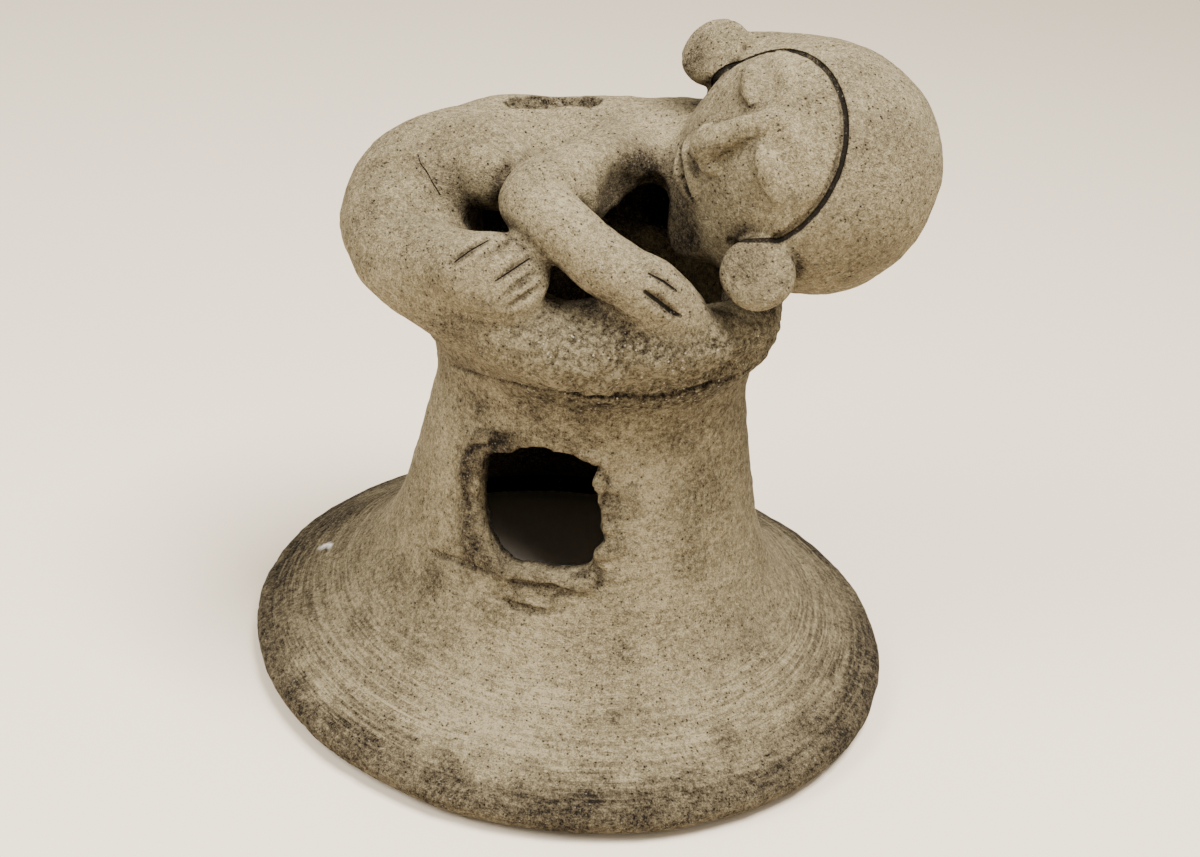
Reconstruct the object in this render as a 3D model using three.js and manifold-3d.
// Fired-clay incense burner: a flared, hollow stand whose chimney carries a curled-up human figure.
// Units are millimetres, +Z is up and the origin is under the middle of the foot.
import * as THREE from 'three';
import { LoftGeometry } from 'three/addons/geometries/LoftGeometry.js';
import { mergeVertices } from 'three/addons/utils/BufferGeometryUtils.js';
import Module from 'manifold-3d';

// Stand: radius and height of its outer profile, from the foot to the neck under the rolled rim
const WALL = 9;
const FOOT_INNER_RADIUS = 139.5;
const STAND_PROFILE = [
  [147.5, 0], [151, 2.2], [154.2, 5.5], [155.8, 9.5], [154, 14], [145, 19.5], [132, 26.5], [118, 35],
  [104, 47], [94.5, 60], [87.5, 76], [82.5, 95], [78, 117], [73.8, 140], [72.3, 155], [74.5, 170],
];
// The inner profile follows the outer one from this point of it upward
const INNER_FROM = 5;
const RIM_PROFILE = [[82.5, 183], [84.5, 192], [82.5, 203.5], [76, 212], [69, 212.5], [64, 206]];
const FLUE_RADIUS = 62;
const FLUE_TOP = 212;
const STAND_SEGMENTS = 36;
// Above the skirt the chimney leans toward -X, by this much over this height
const LEAN = 4;
const LEAN_START = 20;
const LEAN_HEIGHT = 180;

// Window in the chimney wall: its bearing from -Y toward -X, and its outline across and up
const WINDOW_BEARING = THREE.MathUtils.degToRad(15.5);
const WINDOW_OUTLINE = [
  [-27, 136], [-14, 143], [0, 148], [12, 147.5], [23.5, 142], [23, 134], [27, 126],
  [30, 108], [26, 94], [16, 90.5], [6, 91.5], [-9, 89.5], [-19, 96.5], [-26.5, 109], [-28.5, 122],
];
const WINDOW_NEAR = 30;
const WINDOW_DEPTH = 75;

// Limbs and body masses: points of the middle line with the radius there, as x, y, z, radius
const TORSO = [[-50, 18, 231, 41], [-26, 20, 233, 41], [2, 20, 237, 40], [28, 14, 238, 37]];
const NECK = [[28, 12, 244, 38], [48, 6, 252, 34], [64, -6, 256, 34]];
const CHEST = [[32, -14, 248, 20], [38, -24, 243, 18]];
const REAR_WALL = [
  [-62, -6, 218, 14], [-60, 24, 220, 14], [-42, 50, 220, 14], [-10, 63, 220, 14], [24, 59, 220, 14],
  [49, 40, 220, 14], [62, 14, 220, 15], [64, -12, 220, 15], [60, -28, 218, 13],
];
const LEG = [
  [-48, 14, 238, 34], [-72, -2, 240, 31.5], [-88.5, -18, 239, 27], [-95.5, -35, 230, 22], [-88, -50, 221, 19.5],
  [-67, -62, 213, 18.5], [-42, -70, 206, 19], [-20, -75, 201, 19], [-2, -77, 200, 17],
];
const THIGH = [[-82, -22, 241, 14], [-74, -38, 230, 12], [-66, -50, 221, 12]];
const FLANK = [[-64, -17, 256, 18], [-55, -26, 256, 16.5]];
const HEEL = [[-78, -59, 227, 15], [-68, -69, 230, 15], [-55, -76.5, 231.5, 13.5]];
const BELLY = [[-50, -18, 250, 14], [-34, -26, 250, 13], [-14, -22, 250, 17]];
const UPPER_ARM = [[6, -2, 250, 26], [-12.5, -30, 259, 17.5], [-33, -52, 256, 15.5]];
const FOREARM = [[-33, -52, 256, 15.5], [-27, -63.5, 253, 14], [-16.5, -70.5, 248.5, 13], [-3, -75.5, 240.5, 11.2]];
const HAND = [[-3, -75.5, 240.5, 11.2], [10, -79, 235.5, 13.5], [19.5, -80, 231.5, 13.5], [31, -77, 223, 11.5]];
const PALM = [[-2, -74, 209, 13], [16, -76, 210, 15], [35, -70, 207, 13]];
const RIM_LUMP = [[22, -78, 206, 12], [40, -70, 208, 12.5], [56, -54, 208, 12], [66, -38, 205, 10]];

// Foot: a rounded pad that faces forward and up, with its radii across, up and through
const FOOT_CENTRE = [-44, -80, 232];
const FOOT_FACING = new THREE.Vector3(0.12, -0.82, 0.55);
const FOOT_RADII = [20.5, 17, 8];

// Grooves between the fingers, and between the toes as across, up and half width on the foot's face
const FINGER_LINES = [
  [[14, -84.5, 246, 1.4], [21, -88, 241, 2.2], [31, -87, 234.5, 1.4]],
  [[13, -92, 238, 1.4], [21, -93, 234, 2.2], [30, -91, 228, 1.4]],
];
const TOE_LINES = [
  [[-14, 4.5, 1.5], [-4.5, 13.5, 1.5]], [[0.5, -6.5, 1.5], [14, 6.5, 1.5]], [[4, -13, 1.5], [17, -2.5, 1.5]],
];
const LINE_SIDES = 5;

// The hollow under the body, open down into the flue and forward between the limbs
const VAULT = [[-32, 10, 226, 30], [2, 12, 228, 31], [24, 4, 226, 28]];
const VAULT_MOUTHS = [
  [[-32, 8, 222, 24], [-55, -45, 242, 8]],
  [[8, 0, 232, 22], [7, -40, 247, 13]],
  [[24, 0, 224, 22], [38, -30, 222, 12.5]],
  [[8, -38, 237, 12], [24, -36, 229, 13], [40, -30, 222, 12]],
];
const ARMPIT = [[4.5, -47, 278, 8], [6, -46, 267, 12], [10, -41, 254, 14.5], [18, -38, 241, 13]];
const FOOT_SLOT = [[-10, -20, 222, 14], [-17, -58, 220, 7], [-10, -60, 216.5, 5]];

// Broken place on the top of the back, scooped a little way in
const SCAR_CENTRE = [-28, 34, 292];
const SCAR_RADII = [22, 12, 18];

// Head: an egg that narrows toward the chin, with its long axis toward the crown
const CROWN = new THREE.Vector3(0.86, -0.14, 0.49);
const FACING = new THREE.Vector3(-0.5, -0.66, 0.56);
const HEAD_CENTRE = new THREE.Vector3(80.5, -18, 270);
const CROWN_REACH = 57;
const CHIN_REACH = 63;
const SIDE_REACH = 55;
const FACE_REACH = 52;
const CHIN_TAPER = 0.2;
const HEAD_COLUMNS = 22;
const HEAD_ROWS = 15;

// Groove of the cap's edge: an oval on the face side, open under the chin
const CAP_MIDDLE_UP = -10;
const CAP_TALL = 40;
const CAP_WIDE = 42;
const CAP_SWEEP = THREE.MathUtils.degToRad(125);
const CAP_GROOVE = 1.7;
const CAP_STEPS = 12;

// Features of the face as up, across, radius and lift out of the surface; side is +1 or -1
const NOSE = [[10, 0, 4.5, -2], [-6, 0, 5, 0.8], [-19, 0, 6.2, 3.6], [-27, 0, 7.4, 3.4]];
const NOSE_WING = (side) => [[-29, 5 * side, 4.6, 1.5], [-28, 8 * side, 4.2, 0.8]];
const BROW = (side) => [[9, 6 * side, 3.2, -1.2], [12, 18 * side, 3.8, -1.6], [7, 32 * side, 2.8, -1.4]];
const EYELID = (side) => [[-6, 11 * side, 2.8, -0.6], [-4.5, 20 * side, 6, -1.4], [-6, 30 * side, 2.8, -0.6]];
const EYE_SLIT = (side) => [[-7, 10 * side, 1, 1.6], [-10.5, 20 * side, 1.5, 2.4], [-7, 31 * side, 1, 1.6]];
const UPPER_LIP = [[-42, -13, 2.2, 0], [-39.8, -5, 3.2, 0.6], [-39.8, 5, 3.2, 0.6], [-42, 13, 2.2, 0]];
const LOWER_LIP = [[-44, -12, 2.2, 0], [-46.8, 0, 3.9, 0.6], [-44, 12, 2.2, 0]];
const MOUTH_LINE = [[-42.3, -16, 1, 1.4], [-43.2, 0, 1.5, 3], [-42.3, 16, 1, 1.4]];

// Ear spools: thick discs on short lobes
const SPOOL_RADIUS = 15.5;
const SPOOL_THICKNESS = 11;
const SPOOL_EDGE = 3;
const SPOOL_SIDES = 16;
const SPOOLS = [
  { centre: [61, -70, 241.5], axis: [-0.12, -0.9, 0.4] },
  { centre: [35.5, 8, 308], axis: [-0.55, -0.5, 0.67] },
];
const LOBES = [
  [[62, -58, 240, 9], [72, -44, 246, 14]],
  [[39, 11, 302.5, 12], [56, 10, 303, 15], [78, 4, 300, 20]],
];

const CLAY = new THREE.MeshStandardMaterial({ color: 0xb5a88c, roughness: 0.92, metalness: 0 });

const wasm = await Module();
wasm.setup();

const vector = ([x, y, z]) => new THREE.Vector3(x, y, z);

// Turns a closed geometry into a solid for joining and cutting
function solid(geometry) {
  const bare = new THREE.BufferGeometry();
  bare.setAttribute('position', geometry.attributes.position);
  bare.setIndex(geometry.index);
  const merged = mergeVertices(bare, 1e-4);
  return new wasm.Manifold(new wasm.Mesh({
    numProp: 3,
    vertProperties: new Float32Array(merged.attributes.position.array),
    triVerts: new Uint32Array(merged.index.array),
  }));
}

const joined = (solids) => solids.reduce((sum, next) => sum.add(next));

// A closed profile of radius and height turned about the leaning axis
function turned(profile, segments = STAND_SEGMENTS) {
  const points = profile.map(([radius, height]) => new THREE.Vector2(radius, height));
  const geometry = new THREE.LatheGeometry(points, segments);
  geometry.rotateX(Math.PI / 2);
  const place = geometry.attributes.position;
  for (let i = 0; i < place.count; i++) {
    place.setX(i, place.getX(i) - LEAN * Math.max(place.getZ(i) - LEAN_START, 0) / LEAN_HEIGHT);
  }
  return solid(geometry);
}

// The stand's inner profile: the outer one moved in by the wall, square to its slope
function innerProfile() {
  const inner = [];
  for (let i = INNER_FROM; i < STAND_PROFILE.length - 2; i++) {
    const [before, after] = [STAND_PROFILE[i - 1], STAND_PROFILE[i + 1]];
    const along = new THREE.Vector2(after[0] - before[0], after[1] - before[1]).normalize();
    inner.push([STAND_PROFILE[i][0] - along.y * WALL, STAND_PROFILE[i][1] + along.x * WALL]);
  }
  return inner;
}

function stand() {
  const flue = [[FLUE_RADIUS, 198], [FLUE_RADIUS, 160]];
  const loop = [...STAND_PROFILE, ...RIM_PROFILE, ...flue, ...innerProfile().reverse(), [FOOT_INNER_RADIUS, 0]];
  return turned([...loop, loop[0]]);
}

// A rounded tube along a smooth curve, its radius changing from point to point
function limb(points, { sides = 12, steps = 5, bows = [60] } = {}) {
  const curve = new THREE.CatmullRomCurve3(points.map(vector), false, 'catmullrom', 0.5);
  const frames = curve.computeFrenetFrames(steps, false);
  const sections = [];
  const addRing = (index, radius, beyond) => {
    const middle = curve.getPointAt(index / steps).addScaledVector(frames.tangents[index], beyond);
    const ring = [];
    for (let side = 0; side < sides; side++) {
      const angle = side / sides * 2 * Math.PI;
      const point = middle.clone().addScaledVector(frames.normals[index], radius * Math.cos(angle));
      ring.push(point.addScaledVector(frames.binormals[index], radius * Math.sin(angle)));
    }
    sections.push(ring);
  };
  const radiusAt = (index) => {
    const place = curve.getUtoTmapping(index / steps) * (points.length - 1);
    const from = Math.min(Math.floor(place), points.length - 2);
    return THREE.MathUtils.lerp(points[from][3], points[from + 1][3], place - from);
  };
  const angles = bows.map(THREE.MathUtils.degToRad);
  angles.forEach((bow) => addRing(0, radiusAt(0) * Math.cos(bow), -radiusAt(0) * Math.sin(bow)));
  for (let index = 0; index <= steps; index++) {
    addRing(index, radiusAt(index), 0);
  }
  angles.reverse();
  angles.forEach((bow) => addRing(steps, radiusAt(steps) * Math.cos(bow), radiusAt(steps) * Math.sin(bow)));
  return solid(new LoftGeometry(sections, { closed: true, capStart: true, capEnd: true }));
}

const line = (points, steps = 2) => limb(points, { sides: LINE_SIDES, steps, bows: [45] });

function ellipsoid(centre, radii, columns = 16, rows = 10) {
  const geometry = new THREE.SphereGeometry(1, columns, rows);
  geometry.scale(...radii);
  geometry.translate(...centre);
  return solid(geometry);
}

// The head's own axes: crown, side and face
function headBasis() {
  const crown = CROWN.clone().normalize();
  const face = FACING.clone().addScaledVector(crown, -FACING.dot(crown)).normalize();
  const side = new THREE.Vector3().crossVectors(face, crown);
  return new THREE.Matrix4().makeBasis(crown, side, face);
}

const chinTaper = (up) => 1 - CHIN_TAPER * (Math.min(up, 0) / CHIN_REACH) ** 2;
const endReach = (up) => (up > 0 ? CROWN_REACH : CHIN_REACH);

function egg() {
  const geometry = new THREE.SphereGeometry(1, HEAD_COLUMNS, HEAD_ROWS);
  const place = geometry.attributes.position;
  for (let i = 0; i < place.count; i++) {
    const up = place.getY(i) * endReach(place.getY(i));
    const width = chinTaper(up);
    place.setXYZ(i, up, place.getX(i) * SIDE_REACH * width, -place.getZ(i) * FACE_REACH * width);
  }
  geometry.applyMatrix4(headBasis().setPosition(HEAD_CENTRE));
  return solid(geometry);
}

// A point on the face side of the egg, lifted out of its surface
function onFace(up, across, lift) {
  const width = chinTaper(up);
  const reach = new THREE.Vector3(endReach(up), SIDE_REACH * width, FACE_REACH * width);
  const rest = Math.max(1 - (up / reach.x) ** 2 - (across / reach.y) ** 2, 0);
  const point = new THREE.Vector3(up, across, reach.z * Math.sqrt(rest));
  const outward = point.clone().divide(reach).divide(reach).normalize();
  return point.addScaledVector(outward, lift).applyMatrix4(headBasis().setPosition(HEAD_CENTRE));
}

const faceLine = (points) => points.map(([up, across, radius, lift]) => [...onFace(up, across, lift), radius]);

function capGroove() {
  const points = [];
  for (let step = 0; step <= CAP_STEPS; step++) {
    const turn = THREE.MathUtils.lerp(-CAP_SWEEP, CAP_SWEEP, step / CAP_STEPS);
    const up = CAP_MIDDLE_UP + CAP_TALL * Math.cos(turn);
    points.push([...onFace(up, CAP_WIDE * Math.sin(turn), 0), CAP_GROOVE]);
  }
  return line(points, CAP_STEPS);
}

function spool({ centre, axis }) {
  const half = SPOOL_THICKNESS / 2;
  const flat = SPOOL_RADIUS - SPOOL_EDGE;
  const edge = half - SPOOL_EDGE;
  const profile = [[0, -half], [flat, -half], [SPOOL_RADIUS, -edge], [SPOOL_RADIUS, edge], [flat, half], [0, half]];
  const geometry = new THREE.LatheGeometry(profile.map(([r, h]) => new THREE.Vector2(r, h)), SPOOL_SIDES);
  const turn = new THREE.Quaternion().setFromUnitVectors(new THREE.Vector3(0, 1, 0), vector(axis).normalize());
  geometry.applyQuaternion(turn);
  geometry.translate(...centre);
  return solid(geometry);
}

function head() {
  const feature = (points) => limb(faceLine(points), { sides: 6, steps: 3, bows: [45] });
  const pairs = [1, -1].flatMap((side) => [NOSE_WING(side), BROW(side), EYELID(side)]);
  const raised = [NOSE, UPPER_LIP, LOWER_LIP, ...pairs].map(feature);
  const carved = [MOUTH_LINE, EYE_SLIT(1), EYE_SLIT(-1)].map((points) => line(faceLine(points)));
  const lobes = LOBES.map((points) => limb(points, { sides: 8, steps: 2 }));
  return joined([joined([egg(), ...raised]).subtract(joined([capGroove(), ...carved])), ...lobes, ...SPOOLS.map(spool)]);
}

// Body, neck and leg, open toward the front and scarred on the back
function trunk() {
  const masses = joined([
    limb(TORSO, { sides: 18, bows: [65, 30] }),
    limb(NECK, { sides: 14, steps: 3 }),
    limb(REAR_WALL, { sides: 8, steps: 10 }),
    limb(LEG, { steps: 12 }),
    limb(THIGH, { sides: 8, steps: 2 }),
  ]);
  const mouths = VAULT_MOUTHS.map((points) => limb(points, { sides: 8, steps: 2 }));
  return masses.subtract(joined([...mouths, ellipsoid(SCAR_CENTRE, SCAR_RADII, 12, 8)])).add(limb(CHEST, { steps: 2 }));
}

// The foot's own axes: across, up and out of its face
function footPlace() {
  const out = FOOT_FACING.clone().normalize();
  const across = new THREE.Vector3(0, 0, 1).cross(out).normalize();
  return new THREE.Matrix4().makeBasis(across, out.clone().cross(across), out).setPosition(...FOOT_CENTRE);
}

function foot() {
  const geometry = new THREE.SphereGeometry(1, 14, 9);
  geometry.scale(...FOOT_RADII);
  geometry.applyMatrix4(footPlace());
  return solid(geometry);
}

function toeLine(ends) {
  const [wide, tall, thick] = FOOT_RADII;
  return line(ends.map(([across, up, radius]) => {
    const rest = Math.max(1 - (across / wide) ** 2 - (up / tall) ** 2, 0);
    return [...new THREE.Vector3(across, up, thick * Math.sqrt(rest)).applyMatrix4(footPlace()), radius];
  }));
}

// The limbs that cross in front of the hollow
function frontLimbs() {
  const limbs = joined([
    limb(FLANK, { steps: 2 }),
    limb(BELLY, { sides: 8, steps: 2 }),
    limb(UPPER_ARM, { steps: 4 }),
    limb(FOREARM, { steps: 4 }),
    limb(HEEL, { sides: 10, steps: 3 }),
    limb(PALM, { sides: 8, steps: 3 }),
    limb(RIM_LUMP, { sides: 8, steps: 4 }),
    foot(),
  ]);
  const marks = [...TOE_LINES.map(toeLine), ...FINGER_LINES.map((points) => line(points))];
  return limbs.subtract(limb(ARMPIT, { sides: 10, steps: 3 })).add(limb(HAND, { steps: 4 })).subtract(joined(marks));
}

// The whole figure, hollow inside and open down into the flue
function figure() {
  const flue = turned([[0, 1], [FLUE_RADIUS, 1], [FLUE_RADIUS, FLUE_TOP], [0, FLUE_TOP]]);
  const hollows = joined([limb(VAULT, { sides: 12, steps: 4 }), limb(FOOT_SLOT, { sides: 8, steps: 3 }), flue]);
  return joined([trunk(), frontLimbs()]).subtract(hollows).add(head());
}

function windowCut() {
  const outline = new THREE.Shape(WINDOW_OUTLINE.map(([across, up]) => new THREE.Vector2(across, up)));
  const geometry = new THREE.ExtrudeGeometry(outline, { depth: WINDOW_DEPTH, bevelEnabled: false });
  geometry.rotateX(Math.PI / 2);
  geometry.translate(0, -WINDOW_NEAR, 0);
  geometry.rotateZ(-WINDOW_BEARING);
  return solid(geometry);
}

function geometryOf(result) {
  const mesh = result.getMesh();
  const geometry = new THREE.BufferGeometry();
  geometry.setAttribute('position', new THREE.BufferAttribute(mesh.vertProperties, 3));
  geometry.setIndex(new THREE.BufferAttribute(mesh.triVerts, 1));
  return geometry;
}

const whole = stand().add(figure()).subtract(windowCut());
const burner = new THREE.Mesh(geometryOf(whole), CLAY);
burner.name = 'incense_burner';

const group = new THREE.Group();
group.add(burner);
export default group;
